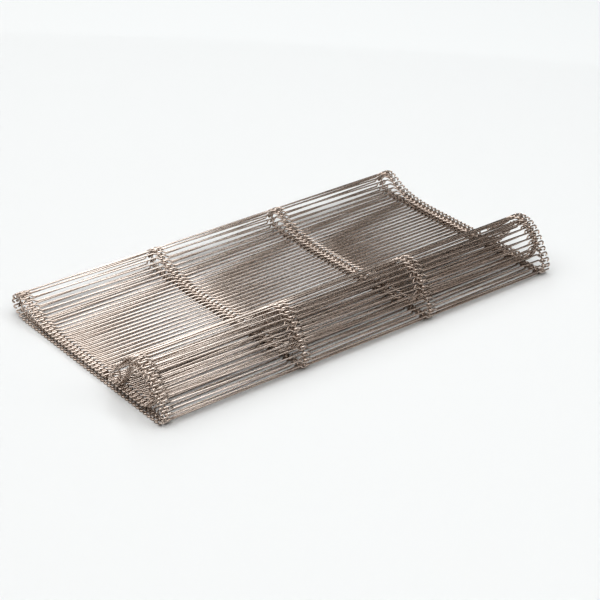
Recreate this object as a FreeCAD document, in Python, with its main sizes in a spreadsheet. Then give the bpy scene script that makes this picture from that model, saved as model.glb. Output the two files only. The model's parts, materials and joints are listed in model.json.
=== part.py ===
import FreeCAD, Part
import math
import os

# Flat-flex wire conveyor belt: one endless loop of identical wire strands, lying
# flat in two layers with a fold at the back. At the front both layers are rolled
# up and back together, so that the roll has an outer and an inner wrap and its
# tip rests on the flat belt.
# Each strand is one bent wire that runs the full belt width. It has a hairpin
# loop at each edge and steps over to the next strand at four Z-bends, where it
# hooks round its neighbour. Its bars run almost straight across between the rows
# and jog out to the hooks beside them. Lengths in mm, angles in degrees.

V = FreeCAD.Vector
doc = FreeCAD.newDocument("wire_belt")
sheet = doc.addObject("Spreadsheet::Sheet", "Sheet")

SIZES = [
    ("belt_width", 368.0),      # over the outsides of the edge loops
    ("pitch", 4.6),             # hinge line to hinge line
    ("wire_dia", 1.27),
    ("edge_loop", 5.6),         # edge of the belt to the first row of Z-bends
    ("hook_span", 6.45),        # between the two hooks of one Z-bend
    ("bar_offset", 0.9),        # bars to the strand's middle line, at each Z-bend
    ("jog_start", 2.8),         # where a bar jogs out to its hook, from the row's centre
    ("jog_end", 5.0),
    ("jog_radius", 1.4),        # the jog's bends, at the wire's centre line
    ("bend_radius", 0.90),      # Z-bends, at the wire's centre line
    ("step_half", 1.8),         # half the length of a Z-bend's slant, across the belt
    ("tip_radius", 1.25),       # hairpin bends, at the wire's centre line
    ("tail", 3.4),              # the wire's end runs this far past the outer Z-bend
    ("floor_strands", 38),      # strands in the run that lies on the floor
    ("floor_front", 6.6),       # front hinge line of that run, from the roll's foot line
    ("under_strands", 9),       # strands of the upper layer that lie under the roll
    ("under_front", 27.63),     # front hinge line of those strands
    ("under_height", 5.64),     # their hinge lines' height
]

# The turn at each hinge line, convex positive, walking away from the floor run.
# Forward: the roll's outer wrap, that is its foot, front arm, crest and back arm.
FOOT = [6.0, 33.0, 43.0, 29.0, 9.5]
FRONT_ARM = [0.0, 0.5, 3.0, 5.5, 7.5]
CREST = [11.0, 12.0, 13.0, 15.5, 15.0, 13.0, 9.0]
BACK_ARM = [-3.7, -2.6, -5.5, -2.0, 12.0]
# Forward from the strands under the roll: the inner wrap and the roll's tip.
INNER_FOOT = [3.6, 19.0, 19.0, 19.0, 19.0]
INNER_FRONT = [19.0, 19.0, 19.0, 19.0]
INNER_CREST = [15.5, 18.2, 19.0, 18.8]
INNER_BACK = [11.4, 1.5, -4.6, -3.8]
TIP = [-10.2, -40.0, -42.0]
# Backward: the fold, the slope down from it, the top run.
FOLD = [5.0, 8.5, 8.0, 18.0, 30.5, 38.0, 32.0, 26.5, 27.0, 13.5, 3.1]
SLOPE = [-4.8, -4.8, -4.2, -3.6, -3.0, -2.4, -1.8, -1.9]
TOP_RUN = [-1.3, -1.0, -0.7, -0.4, -0.2] + [0.0] * 10

row = 0


def cell(alias, value):
    global row
    row += 1
    sheet.set("A%d" % row, alias)
    sheet.set("B%d" % row, repr(float(value)))
    sheet.setAlias("B%d" % row, alias)


for name, value in SIZES:
    cell(name, value)
TURNS = [("foot", FOOT), ("front_arm", FRONT_ARM), ("crest", CREST),
         ("back_arm", BACK_ARM), ("inner_foot", INNER_FOOT),
         ("inner_front", INNER_FRONT), ("inner_crest", INNER_CREST),
         ("inner_back", INNER_BACK), ("tip", TIP), ("fold", FOLD), ("slope", SLOPE),
         ("top_run", TOP_RUN)]
for zone, turns in TURNS:
    for i, turn in enumerate(turns):
        cell("turn_%s_%02d" % (zone, i + 1), turn)
doc.recompute()


def size(alias):
    return float(sheet.get(alias))


def turns_of(zone):
    count = len(dict(TURNS)[zone])
    return [size("turn_%s_%02d" % (zone, i + 1)) for i in range(count)]


width = size("belt_width")
pitch = size("pitch")
wire = size("wire_dia")
half = size("bend_radius")

# ---------------------------------------------------------------- strand path
# Local frame: X across the belt, Y along the belt's travel, Z into the loop.
# The bars lie in the hinge plane Z = 0, the slants at Z = two bend radii.


def strand_path():
    edge = size("edge_loop")
    bar = size("hook_span") / 2.0
    step = size("step_half")
    tip_r = size("tip_radius")
    tip = (width - wire) / 2.0
    tail = size("tail")
    rows = [-width / 2.0 + edge + (width - 2.0 * edge) * i / 3.0 for i in range(4)]
    back = 2.0 * tip_r
    low = 2.0 * half
    corners = [(V(rows[0] - tail, bar - back, 0), 0.0),
               (V(-tip, bar - back, 0), tip_r),
               (V(-tip, bar, 0), tip_r)]
    off = size("bar_offset")
    jog = (size("jog_start"), size("jog_end"))
    jog_r = size("jog_radius")
    for i, x in enumerate(rows):
        if i > 0:
            corners += [(V(x - jog[1], off, 0), jog_r), (V(x - jog[0], bar, 0), jog_r)]
        corners += [(V(x + step, bar, 0), half), (V(x + step, bar, low), half),
                    (V(x - step, -bar, low), half), (V(x - step, -bar, 0), half)]
        if i < 3:
            corners += [(V(x + jog[0], -bar, 0), jog_r), (V(x + jog[1], -off, 0), jog_r)]
    corners += [(V(tip, -bar, 0), tip_r), (V(tip, back - bar, 0), tip_r),
                (V(rows[3] + tail, back - bar, 0), 0.0)]
    edges = []
    at = corners[0][0]
    for i in range(1, len(corners) - 1):
        here, r = corners[i]
        u = (corners[i - 1][0] - here).normalize()
        w = (corners[i + 1][0] - here).normalize()
        angle = math.acos(max(-1.0, min(1.0, u.dot(w))))
        run = r / math.tan(angle / 2.0)
        a = here + u * run
        b = here + w * run
        mid = (u + w).normalize()
        m = here + mid * (r / math.sin(angle / 2.0) - r)
        if (a - at).Length > 1e-6:
            edges.append(Part.LineSegment(at, a).toShape())
        edges.append(Part.Arc(a, m, b).toShape())
        at = b
    edges.append(Part.LineSegment(at, corners[-1][0]).toShape())
    first = (corners[1][0] - corners[0][0]).normalize()
    return Part.Wire(edges), corners[0][0], first


path_wire, path_start, path_dir = strand_path()
path = doc.addObject("Part::Feature", "StrandPath")
path.Shape = path_wire
section = doc.addObject("Part::Circle", "WireSection")
section.setExpression("Radius", "Sheet.wire_dia / 2")
section.Placement = FreeCAD.Placement(path_start, FreeCAD.Rotation(V(0, 0, 1), path_dir))
spine = ["Edge%d" % (i + 1) for i in range(len(path_wire.Edges))]

# ------------------------------------------------------------- loop's profile
floor_z = wire / 2.0
count = int(size("floor_strands"))
front = size("floor_front")


def walk(start, heading, turns, sign):
    """Hinge lines and headings, one strand after another."""
    y, z = start
    points = [start]
    heads = []
    for turn in turns:
        heading += sign * turn
        y += pitch * math.cos(math.radians(heading))
        z += pitch * math.sin(math.radians(heading))
        points.append((y, z))
        heads.append(heading)
    return points, heads


forward = turns_of("foot") + turns_of("front_arm") + turns_of("crest") + turns_of("back_arm")
backward = turns_of("fold") + turns_of("slope") + turns_of("top_run")
rolled = (turns_of("inner_foot") + turns_of("inner_front") + turns_of("inner_crest")
          + turns_of("inner_back") + turns_of("tip"))
below = int(size("under_strands"))
below_front = size("under_front")
below_z = size("under_height")
arch_pts, arch_heads = walk((front, floor_z), 180.0, forward, -1.0)
roll_pts, roll_heads = walk((below_front, below_z), 180.0, rolled, -1.0)
top_pts, top_heads = walk((front + pitch * count, floor_z), 0.0, backward, 1.0)

# Each strand: the point midway between its hinge lines, and its travel angle.
floor = [(front + pitch * (i + 0.5), floor_z, 0.0) for i in range(count)]
arch = [((a[0] + b[0]) / 2.0, (a[1] + b[1]) / 2.0, h + 180.0)
        for a, b, h in zip(arch_pts, arch_pts[1:], arch_heads)]
over = [((a[0] + b[0]) / 2.0, (a[1] + b[1]) / 2.0, h)
        for a, b, h in zip(top_pts, top_pts[1:], top_heads)]
under = [(below_front + pitch * (below - i - 0.5), below_z, 180.0) for i in range(below)]
inner = [((a[0] + b[0]) / 2.0, (a[1] + b[1]) / 2.0, h)
         for a, b, h in zip(roll_pts, roll_pts[1:], roll_heads)]

# The nodes: (label, strands), one strand each where the belt is bent.
nodes = []
at = 0
for i, n in enumerate([8, 8, 7, 7, 8]):
    nodes.append(("floor_strands_%02d" % (i + 1), floor[at:at + n]))
    at += n
at = 0
for i, n in enumerate([5, 4]):
    nodes.append(("under_strands_%02d" % (i + 1), under[at:at + n]))
    at += n
at = 0
for zone, turns in [("inner_foot", INNER_FOOT), ("inner_front", INNER_FRONT),
                    ("inner_crest", INNER_CREST)]:
    nodes.append((zone + "_strands", inner[at:at + len(turns)]))
    at += len(turns)
for zone, turns in [("inner_back", INNER_BACK), ("roll_tip", TIP)]:
    for i in range(len(turns)):
        nodes.append(("%s_strand_%02d" % (zone, i + 1), [inner[at]]))
        at += 1
at = 0
for zone, turns in [("foot", FOOT), ("arch_front", FRONT_ARM), ("arch_crest", CREST),
                    ("arch_back", BACK_ARM)]:
    for i in range(len(turns)):
        nodes.append(("%s_strand_%02d" % (zone, i + 1), [arch[at]]))
        at += 1
at = 0
for i in range(len(FOLD)):
    nodes.append(("fold_strand_%02d" % (i + 1), [over[at]]))
    at += 1
for i in range(len(SLOPE) // 2):
    nodes.append(("slope_strands_%02d" % (i + 1), over[at:at + 2]))
    at += 2
for i, n in enumerate([3, 3, 3, 3, 3]):
    nodes.append(("top_strands_%02d" % (i + 1), over[at:at + n]))
    at += n

# ------------------------------------------------- strands, set in the one frame
# First the loop's own extent, so that the frame's origin is the bottom centre.


def placement(strand, shift_y, shift_z):
    y, z, angle = strand
    return FreeCAD.Placement(V(0, y + shift_y, z + shift_z),
                             FreeCAD.Rotation(V(1, 0, 0), angle))


pattern = path_wire.makePipe(Part.Face(Part.Wire([
    Part.Circle(path_start, path_dir, wire / 2.0).toShape()])))
lo_y, hi_y, lo_z = 1e9, -1e9, 1e9
for label, strands in nodes:
    for strand in strands:
        copy = pattern.copy()
        copy.Placement = placement(strand, 0.0, 0.0)
        box = copy.optimalBoundingBox(False)
        lo_y = min(lo_y, box.YMin)
        hi_y = max(hi_y, box.YMax)
        lo_z = min(lo_z, box.ZMin)
shift_y = -(lo_y + hi_y) / 2.0
shift_z = -lo_z

built = []
for label, strands in nodes:
    sweeps = []
    for i, strand in enumerate(strands):
        sweep = doc.addObject("Part::Sweep", "Sweep")
        sweep.Sections = [section]
        sweep.Spine = (path, spine)
        sweep.Solid = True
        sweep.Frenet = False
        sweep.Placement = placement(strand, shift_y, shift_z)
        sweeps.append(sweep)
    if len(sweeps) == 1:
        node = sweeps[0]
    else:
        for i, sweep in enumerate(sweeps):
            sweep.Label = "%s_wire_%d" % (label, i + 1)
        node = doc.addObject("Part::Compound", "Strands")
        node.Links = sweeps
    node.Label = label
    built.append(node)
doc.recompute()

# ------------------------------------------------------------ check and export
for obj in doc.Objects:
    if "Invalid" in obj.State or "Error" in obj.State:
        raise RuntimeError("%s is in state %s" % (obj.Label, obj.State))
for node in built:
    if node.Shape.isNull() or not node.Shape.isValid():
        raise RuntimeError("%s has no valid shape" % node.Label)
os.makedirs("parts", exist_ok=True)
for node in built:
    node.Shape.exportStep("parts/%s.step" % node.Label)
total = Part.makeCompound([node.Shape for node in built]).optimalBoundingBox(False)
print("nodes", len(built), "strands", sum(len(s) for _, s in nodes),
      "shift", round(shift_y, 4), round(shift_z, 4),
      "box", [round(v, 3) for v in (total.XMin, total.YMin, total.ZMin,
                                    total.XMax, total.YMax, total.ZMax)])
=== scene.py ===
import json
import math
import random

import bpy
import numpy as np
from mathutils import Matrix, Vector


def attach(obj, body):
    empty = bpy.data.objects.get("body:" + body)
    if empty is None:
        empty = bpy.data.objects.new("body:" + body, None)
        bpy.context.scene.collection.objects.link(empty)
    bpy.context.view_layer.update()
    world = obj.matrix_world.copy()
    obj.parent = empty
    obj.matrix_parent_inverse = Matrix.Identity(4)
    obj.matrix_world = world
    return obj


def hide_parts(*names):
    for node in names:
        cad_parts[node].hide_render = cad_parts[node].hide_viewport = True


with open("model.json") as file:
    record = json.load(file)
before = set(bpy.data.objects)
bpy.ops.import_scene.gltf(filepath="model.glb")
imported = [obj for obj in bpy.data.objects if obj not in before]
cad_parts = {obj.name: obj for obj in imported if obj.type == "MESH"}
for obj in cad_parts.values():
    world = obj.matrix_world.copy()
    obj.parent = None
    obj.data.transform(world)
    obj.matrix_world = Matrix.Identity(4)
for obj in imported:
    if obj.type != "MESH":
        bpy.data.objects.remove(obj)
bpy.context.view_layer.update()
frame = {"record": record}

# ----------------------------------------------------------------- the strand
# One bent wire, in mm: X across the belt, Y along its travel, Z into the loop.
WIDTH, PITCH, WIRE = 368.0, 4.6, 1.27
EDGE, SPAN, BEND, STEP, TIP_R, TAIL = 5.6, 6.45, 0.90, 1.8, 1.25, 3.4
OFF, JOG_A, JOG_B, JOG_R = 0.9, 2.8, 5.0, 1.4
SIDES = 14


def corners():
    bar, tip, low, back = SPAN / 2, (WIDTH - WIRE) / 2, 2 * BEND, 2 * TIP_R
    rows = [-WIDTH / 2 + EDGE + (WIDTH - 2 * EDGE) * i / 3 for i in range(4)]
    out = [((rows[0] - TAIL, bar - back, 0), 0.0), ((-tip, bar - back, 0), TIP_R),
           ((-tip, bar, 0), TIP_R)]
    for i, x in enumerate(rows):
        if i > 0:
            out += [((x - JOG_B, OFF, 0), JOG_R), ((x - JOG_A, bar, 0), JOG_R)]
        out += [((x + STEP, bar, 0), BEND), ((x + STEP, bar, low), BEND),
                ((x - STEP, -bar, low), BEND), ((x - STEP, -bar, 0), BEND)]
        if i < 3:
            out += [((x + JOG_A, -bar, 0), JOG_R), ((x + JOG_B, -OFF, 0), JOG_R)]
    out += [((tip, -bar, 0), TIP_R), ((tip, back - bar, 0), TIP_R),
            ((rows[3] + TAIL, back - bar, 0), 0.0)]
    return [(np.array(p, float), r) for p, r in out], rows


def centre_line():
    """Points along the wire, and how much each lies in a bend (0 to 1)."""
    cs, rows = corners()
    pts, bend = [cs[0][0]], [0.0]

    def straight(b):
        a = pts[-1]
        length = np.linalg.norm(b - a)
        n = max(1, int(round(length / 12.0)))
        for i in range(1, n + 1):
            pts.append(a + (b - a) * i / n)
            bend.append(0.0)

    for i in range(1, len(cs) - 1):
        here, r = cs[i]
        u = cs[i - 1][0] - here
        w = cs[i + 1][0] - here
        u /= np.linalg.norm(u)
        w /= np.linalg.norm(w)
        angle = math.acos(max(-1.0, min(1.0, float(u @ w))))
        run = r / math.tan(angle / 2)
        a, b = here + u * run, here + w * run
        mid = (u + w) / np.linalg.norm(u + w)
        c = here + mid * (r / math.sin(angle / 2))
        if np.linalg.norm(a - pts[-1]) > 1e-4:
            straight(a)
        e1 = (a - c) / r
        e2 = (b - c) / r
        turn = math.pi - angle
        ortho = e2 - e1 * float(e1 @ e2)
        ortho /= np.linalg.norm(ortho)
        n = max(4, int(math.ceil(turn / math.radians(13))))
        for k in range(1, n + 1):
            t = turn * k / n
            pts.append(c + r * (math.cos(t) * e1 + math.sin(t) * ortho))
            bend.append(1.0 if k < n else 0.6)
    straight(cs[-1][0])
    return np.array(pts), np.array(bend), rows


LINE, BENDS, ROWS = centre_line()


def frames(pts):
    """Tangents and a twist-free cross direction at each point."""
    d = np.diff(pts, axis=0)
    d /= np.linalg.norm(d, axis=1)[:, None]
    tan = np.vstack([d[:1], d[:-1] + d[1:], d[-1:]])
    tan /= np.linalg.norm(tan, axis=1)[:, None]
    n = np.cross(tan[0], [0.0, 0.0, 1.0])
    n /= np.linalg.norm(n)
    cross = [n]
    for i in range(1, len(pts)):
        n = cross[-1] - tan[i] * float(cross[-1] @ tan[i])
        cross.append(n / np.linalg.norm(n))
    return tan, np.array(cross)


# ------------------------------------------------------- where the strands lie
FOOT = [6.0, 33.0, 43.0, 29.0, 9.5]
FRONT_ARM = [0.0, 0.5, 3.0, 5.5, 7.5]
CREST = [11.0, 12.0, 13.0, 15.5, 15.0, 13.0, 9.0]
BACK_ARM = [-3.7, -2.6, -5.5, -2.0, 12.0]
INNER_FOOT = [3.6, 19.0, 19.0, 19.0, 19.0]
INNER_FRONT = [19.0, 19.0, 19.0, 19.0]
INNER_CREST = [15.5, 18.2, 19.0, 18.8]
INNER_BACK = [11.4, 1.5, -4.6, -3.8]
TIP = [-10.2, -40.0, -42.0]
FOLD = [5.0, 8.5, 8.0, 18.0, 30.5, 38.0, 32.0, 26.5, 27.0, 13.5, 3.1]
SLOPE = [-4.8, -4.8, -4.2, -3.6, -3.0, -2.4, -1.8, -1.9]
TOP_RUN = [-1.3, -1.0, -0.7, -0.4, -0.2] + [0.0] * 10
FLOOR, FRONT = 38, 6.6
UNDER, UNDER_FRONT, UNDER_Z = 9, 27.63, 5.64
SHIFT_Y, SHIFT_Z = -98.8265, 0.1013


def walk(start, heading, turns, sign):
    y, z = start
    out = []
    for turn in turns:
        heading += sign * turn
        ny = y + PITCH * math.cos(math.radians(heading))
        nz = z + PITCH * math.sin(math.radians(heading))
        out.append(((y + ny) / 2, (z + nz) / 2, heading))
        y, z = ny, nz
    return out


floor_z = WIRE / 2
floor_run = [(FRONT + PITCH * (i + 0.5), floor_z, 0.0) for i in range(FLOOR)]
arch = [(y, z, h + 180.0) for y, z, h in
        walk((FRONT, floor_z), 180.0, FOOT + FRONT_ARM + CREST + BACK_ARM, -1.0)]
over = walk((FRONT + PITCH * FLOOR, floor_z), 0.0, FOLD + SLOPE + TOP_RUN, 1.0)
under = [(UNDER_FRONT + PITCH * (UNDER - i - 0.5), UNDER_Z, 180.0) for i in range(UNDER)]
inner = walk((UNDER_FRONT, UNDER_Z), 180.0,
             INNER_FOOT + INNER_FRONT + INNER_CREST + INNER_BACK + TIP, -1.0)

plan = []
at = 0
for i, n in enumerate([8, 8, 7, 7, 8]):
    plan.append(("floor_strands_%02d" % (i + 1), floor_run[at:at + n]))
    at += n
at = 0
for i, n in enumerate([5, 4]):
    plan.append(("under_strands_%02d" % (i + 1), under[at:at + n]))
    at += n
at = 0
for zone, turns in [("inner_foot", INNER_FOOT), ("inner_front", INNER_FRONT),
                    ("inner_crest", INNER_CREST)]:
    plan.append((zone + "_strands", inner[at:at + len(turns)]))
    at += len(turns)
for zone, turns in [("inner_back", INNER_BACK), ("roll_tip", TIP)]:
    for i in range(len(turns)):
        plan.append(("%s_strand_%02d" % (zone, i + 1), [inner[at]]))
        at += 1
at = 0
for zone, turns in [("foot", FOOT), ("arch_front", FRONT_ARM), ("arch_crest", CREST),
                    ("arch_back", BACK_ARM)]:
    for i in range(len(turns)):
        plan.append(("%s_strand_%02d" % (zone, i + 1), [arch[at]]))
        at += 1
at = 0
for i in range(len(FOLD)):
    plan.append(("fold_strand_%02d" % (i + 1), [over[at]]))
    at += 1
for i in range(len(SLOPE) // 2):
    plan.append(("slope_strands_%02d" % (i + 1), over[at:at + 2]))
    at += 2
for i, n in enumerate([3, 3, 3, 3, 3]):
    plan.append(("top_strands_%02d" % (i + 1), over[at:at + n]))
    at += n


# ------------------------------------------------------------------ the meshes
rng = random.Random(46127)


def sway():
    """A wire's own small bow between its bends, in mm: along the belt and up."""
    out = np.zeros((len(LINE), 2))
    x = LINE[:, 0]
    for a, b in zip(ROWS, ROWS[1:]):
        inside = (x > a + 6) & (x < b - 6)
        t = np.clip((x - a - 6) / (b - a - 12), 0, 1)
        for axis, most in ((0, 0.16), (1, 0.10)):
            k1, k2 = rng.uniform(-most, most), rng.uniform(-most, most) * 0.5
            out[:, axis] += np.where(inside & (BENDS < 0.1), k1 * np.sin(math.pi * t) + k2 * np.sin(2 * math.pi * t), 0)
    return out


def strand_mesh(strand, seed, verts, faces, uvs, tags):
    y, z, heading = strand
    bow = sway()
    pts = LINE.copy()
    pts[:, 1] += bow[:, 0]
    pts[:, 2] += bow[:, 1]
    tan, cross = frames(pts)
    side = np.cross(tan, cross)
    step = np.r_[0, np.cumsum(np.linalg.norm(np.diff(pts, axis=0), axis=1))]
    # the cut ends are slightly rounded off
    r = WIRE / 2
    rings = [(pts[0], cross[0], side[0], r * 0.80, 0.0, 0.0),
             (pts[0] + tan[0] * 0.10, cross[0], side[0], r * 0.96, 0.10, 0.0)]
    for i in range(len(pts)):
        p = pts[i]
        if i == 0:
            p = pts[0] + tan[0] * 0.22
        if i == len(pts) - 1:
            p = pts[-1] - tan[-1] * 0.22
        rings.append((p, cross[i], side[i], r, step[i], BENDS[i]))
    rings.append((pts[-1] - tan[-1] * 0.10, cross[-1], side[-1], r * 0.96, step[-1] - 0.1, 0.0))
    rings.append((pts[-1], cross[-1], side[-1], r * 0.80, step[-1], 0.0))
    ca, sa = math.cos(math.radians(heading)), math.sin(math.radians(heading))
    base = len(verts)
    for p, c, s, rad, u, b in rings:
        for k in range(SIDES):
            a = 2 * math.pi * k / SIDES
            q = p + rad * (math.cos(a) * c + math.sin(a) * s)
            verts.append((q[0] / 1000, (y + SHIFT_Y + q[1] * ca - q[2] * sa) / 1000,
                          (z + SHIFT_Z + q[1] * sa + q[2] * ca) / 1000))
            tags.append((seed, b))
    n = len(rings)
    for i in range(n - 1):
        for k in range(SIDES):
            k2 = (k + 1) % SIDES
            faces.append((base + i * SIDES + k, base + i * SIDES + k2,
                          base + (i + 1) * SIDES + k2, base + (i + 1) * SIDES + k))
            u0, u1 = rings[i][4] / 1000, rings[i + 1][4] / 1000
            v0, v1 = k / SIDES, (k + 1) / SIDES
            uvs.extend([(u0, v0), (u0, v1), (u1, v1), (u1, v0)])
    faces.append(tuple(base + k for k in reversed(range(SIDES))))
    uvs.extend([(0.0, k / SIDES) for k in reversed(range(SIDES))])
    faces.append(tuple(base + (n - 1) * SIDES + k for k in range(SIDES)))
    uvs.extend([(rings[-1][4] / 1000, k / SIDES) for k in range(SIDES)])


# ---------------------------------------------------------------- the material
def wire_material():
    mat = bpy.data.materials.new("drawn_stainless_wire")
    mat.use_nodes = True
    nt = mat.node_tree
    nt.nodes.clear()
    new = nt.nodes.new
    link = nt.links.new
    out = new("ShaderNodeOutputMaterial")
    bsdf = new("ShaderNodeBsdfPrincipled")
    bsdf.inputs["Metallic"].default_value = 1.0
    link(bsdf.outputs["BSDF"], out.inputs["Surface"])
    uv = new("ShaderNodeUVMap")
    uv.uv_map = "wire"
    seed = new("ShaderNodeAttribute")
    seed.attribute_name = "strand_seed"
    bend = new("ShaderNodeAttribute")
    bend.attribute_name = "bend"

    def texture(scale_u, scale_v, detail, rough=0.5):
        """Noise along the wire (u, metres) and round it (v, turns), different on each strand."""
        mul = new("ShaderNodeVectorMath")
        mul.operation = "MULTIPLY"
        mul.inputs[1].default_value = (scale_u, scale_v, 1.0)
        link(uv.outputs["UV"], mul.inputs[0])
        comb = new("ShaderNodeCombineXYZ")
        scaled = new("ShaderNodeMath")
        scaled.operation = "MULTIPLY"
        scaled.inputs[1].default_value = 91.7
        link(seed.outputs["Fac"], scaled.inputs[0])
        link(scaled.outputs[0], comb.inputs["Z"])
        add = new("ShaderNodeVectorMath")
        add.operation = "ADD"
        link(mul.outputs[0], add.inputs[0])
        link(comb.outputs[0], add.inputs[1])
        tex = new("ShaderNodeTexNoise")
        tex.inputs["Scale"].default_value = 1.0
        tex.inputs["Detail"].default_value = detail
        tex.inputs["Roughness"].default_value = rough
        link(add.outputs[0], tex.inputs["Vector"])
        return tex.outputs["Fac"]

    streaks = texture(60.0, 34.0, 3.0)         # fine drawing lines along the wire
    patches = texture(28.0, 1.2, 2.0)          # slow changes of tone along it
    grime = texture(150.0, 5.0, 3.0, 0.6)      # faint smears of handling dirt

    def ramp(fac, stops):
        node = new("ShaderNodeValToRGB")
        while len(node.color_ramp.elements) < len(stops):
            node.color_ramp.elements.new(0.5)
        for e, (p, c) in zip(node.color_ramp.elements, stops):
            e.position = p
            e.color = (*c, 1.0)
        link(fac, node.inputs["Fac"])
        return node.outputs["Color"]

    def mix(kind, fac, a, b):
        node = new("ShaderNodeMix")
        node.data_type = "RGBA"
        node.blend_type = kind
        if isinstance(fac, float):
            node.inputs["Factor"].default_value = fac
        else:
            link(fac, node.inputs["Factor"])
        for s, v in (("A", a), ("B", b)):
            sock = [i for i in node.inputs if i.name == s and i.type == "RGBA"][0]
            if isinstance(v, tuple):
                sock.default_value = (*v, 1.0)
            else:
                link(v, sock)
        return [o for o in node.outputs if o.type == "RGBA"][0]

    def math_node(op, a, b):
        node = new("ShaderNodeMath")
        node.operation = op
        for sock, v in zip(node.inputs, (a, b)):
            if isinstance(v, float):
                sock.default_value = v
            else:
                link(v, sock)
        return node.outputs[0]

    tone = ramp(patches, [(0.25, (0.53, 0.460, 0.415)), (0.55, (0.58, 0.517, 0.474)), (0.8, (0.62, 0.565, 0.526))])
    lines = ramp(streaks, [(0.30, (0.86, 0.84, 0.82)), (0.55, (1.0, 1.0, 1.0)), (0.75, (1.04, 1.03, 1.02))])
    colour = mix("MULTIPLY", 0.55, tone, lines)
    dirt = ramp(grime, [(0.60, (1.0, 1.0, 1.0)), (0.74, (0.70, 0.64, 0.58))])
    colour = mix("MULTIPLY", 0.4, colour, dirt)
    strand_tone = ramp(seed.outputs["Fac"], [(0.0, (0.90, 0.88, 0.86)), (1.0, (1.04, 1.03, 1.02))])
    colour = mix("MULTIPLY", 1.0, colour, strand_tone)
    # the bends are painted brighter: partly contact wear on the hooks, partly a painted highlight for the bright hook
    # knuckles
    worn_and_highlit = mix("MULTIPLY", bend.outputs["Fac"], colour, (1.20, 1.19, 1.18))
    link(worn_and_highlit, bsdf.inputs["Base Color"])
    rough = math_node("ADD", math_node("MULTIPLY", streaks, 0.10), 0.12)
    rough = math_node("ADD", rough, math_node("MULTIPLY", grime, 0.05))
    rough = math_node("ADD", rough, math_node("MULTIPLY", bend.outputs["Fac"], -0.02))
    link(rough, bsdf.inputs["Roughness"])
    bump = new("ShaderNodeBump")
    bump.inputs["Strength"].default_value = 0.03
    bump.inputs["Distance"].default_value = 0.00004
    link(streaks, bump.inputs["Height"])
    link(bump.outputs["Normal"], bsdf.inputs["Normal"])
    return mat


WIRE_MAT = wire_material()
node_body = {n: b for b, ns in frame["record"]["behaviour"]["bodies"].items() for n in ns}

for name, strands in plan:
    verts, faces, uvs, tags = [], [], [], []
    for strand in strands:
        strand_mesh(strand, rng.random(), verts, faces, uvs, tags)
    mesh = bpy.data.meshes.new(name + "_wire")
    mesh.from_pydata(verts, [], faces)
    layer = mesh.uv_layers.new(name="wire")
    layer.data.foreach_set("uv", np.array(uvs, np.float32).ravel())
    for i, label in enumerate(("strand_seed", "bend")):
        attr = mesh.attributes.new(label, "FLOAT", "POINT")
        attr.data.foreach_set("value", np.array([t[i] for t in tags], np.float32))
    mesh.polygons.foreach_set("use_smooth", [len(f) == 4 for f in faces])
    mesh.materials.append(WIRE_MAT)
    mesh.update()
    obj = bpy.data.objects.new(name + "_wire", mesh)
    bpy.context.scene.collection.objects.link(obj)
    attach(obj, node_body[name])
    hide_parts(name)


# --------------------------------------------------------------- floor, lights
def floor_material():
    mat = bpy.data.materials.new("pale_floor")
    mat.use_nodes = True
    bsdf = mat.node_tree.nodes["Principled BSDF"]
    bsdf.inputs["Base Color"].default_value = (0.762, 0.768, 0.766, 1.0)
    bsdf.inputs["Roughness"].default_value = 0.85
    bsdf.inputs["Specular IOR Level"].default_value = 0.15
    return mat


mesh = bpy.data.meshes.new("floor")
s = 2.0
mesh.from_pydata([(-s, -s, 0), (s, -s, 0), (s, s, 0), (-s, s, 0)], [], [(0, 1, 2, 3)])
mesh.materials.append(floor_material())
ground = bpy.data.objects.new("floor", mesh)
bpy.context.scene.collection.objects.link(ground)

scene = bpy.context.scene
scene.view_settings.view_transform = "Standard"
scene.view_settings.look = "High Contrast"
scene.view_settings.exposure = 0.0

world = bpy.data.worlds.new("studio")
scene.world = world
world.use_nodes = True
world.node_tree.nodes["Background"].inputs["Color"].default_value = (1.0, 0.96, 0.92, 1.0)
world.node_tree.nodes["Background"].inputs["Strength"].default_value = 0.04
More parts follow.
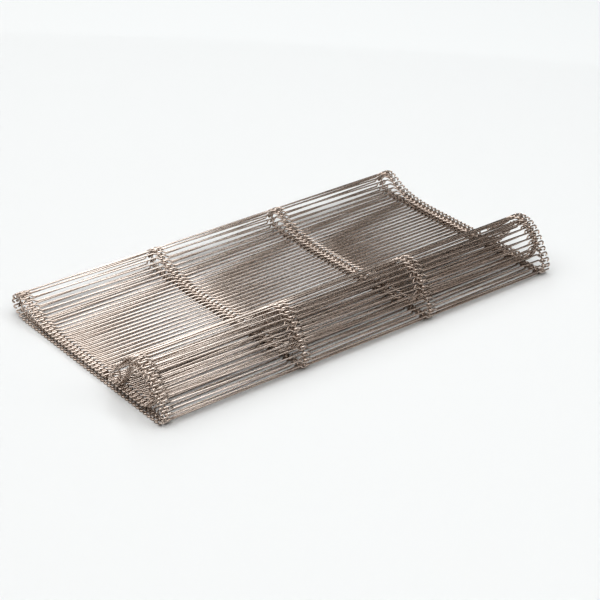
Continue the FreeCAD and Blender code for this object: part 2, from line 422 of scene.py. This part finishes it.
# the room itself is dim; what shows beyond the floor's edge is a pale backdrop
wt = world.node_tree
backdrop = wt.nodes.new("ShaderNodeBackground")
backdrop.inputs["Color"].default_value = (0.99, 1.0, 1.0, 1.0)
backdrop.inputs["Strength"].default_value = 0.66
seen = wt.nodes.new("ShaderNodeLightPath")
both = wt.nodes.new("ShaderNodeMixShader")
wt.links.new(seen.outputs["Is Camera Ray"], both.inputs[0])
wt.links.new(wt.nodes["Background"].outputs[0], both.inputs[1])
wt.links.new(backdrop.outputs[0], both.inputs[2])
wt.links.new(both.outputs[0], wt.nodes["World Output"].inputs["Surface"])


def softbox(name, place, aim, size, power, colour=(1.0, 1.0, 1.0)):
    light = bpy.data.lights.new(name, "AREA")
    light.shape = "RECTANGLE"
    light.size, light.size_y = size
    light.energy = power
    light.color = colour
    o = bpy.data.objects.new(name, light)
    o.location = place
    o.rotation_mode = "QUATERNION"
    o.rotation_quaternion = (Vector(aim) - Vector(place)).to_track_quat("-Z", "Y")
    scene.collection.objects.link(o)
    return o


softbox("top_softbox", (-0.75, 0.0, 2.5), (-0.75, 0.0, 0.0), (3.7, 6.0), 96.0)
softbox("key_strip", (1.14, 0.0, 2.5), (1.14, 0.0, 0.0), (0.44, 3.0), 12.5, (0.93, 0.975, 1.0))
softbox("key_strip_back", (1.14, 1.86, 1.67), (1.14, 0.0, 0.0), (0.44, 1.7), 5.6, (0.93, 0.975, 1.0))
softbox("key_strip_front", (1.14, -1.86, 1.67), (1.14, 0.0, 0.0), (0.44, 1.7), 5.6, (0.93, 0.975, 1.0))
softbox("mid_strip", (1.60, 0.0, 2.5), (1.60, 0.0, 0.0), (0.4, 2.2), 0.7)
softbox("back_softbox", (1.84, 1.84, 1.5), (0.0, 0.0, 0.0), (0.8, 0.8), 0.6)
softbox("front_softbox", (1.5, -1.5, 1.35), (0.0, 0.0, 0.0), (0.5, 0.6), 1.5, (1.0, 0.92, 0.86))

# -------------------------------------------------------------------- camera
cam_data = bpy.data.cameras.new("camera")
cam_data.sensor_width = 36.0
cam_data.lens = 103.0285
cam = bpy.data.objects.new("camera", cam_data)
cam.location = (-0.7082, (-832.4 + SHIFT_Y) / 1000, (633.4 + SHIFT_Z) / 1000)
back = Vector((-0.53719, -0.69380, 0.47965))
cam.rotation_mode = "QUATERNION"
cam.rotation_quaternion = (-back).to_track_quat("-Z", "Y")
cam_data.clip_start, cam_data.clip_end = 0.01, 50.0
scene.collection.objects.link(cam)
scene.camera = cam
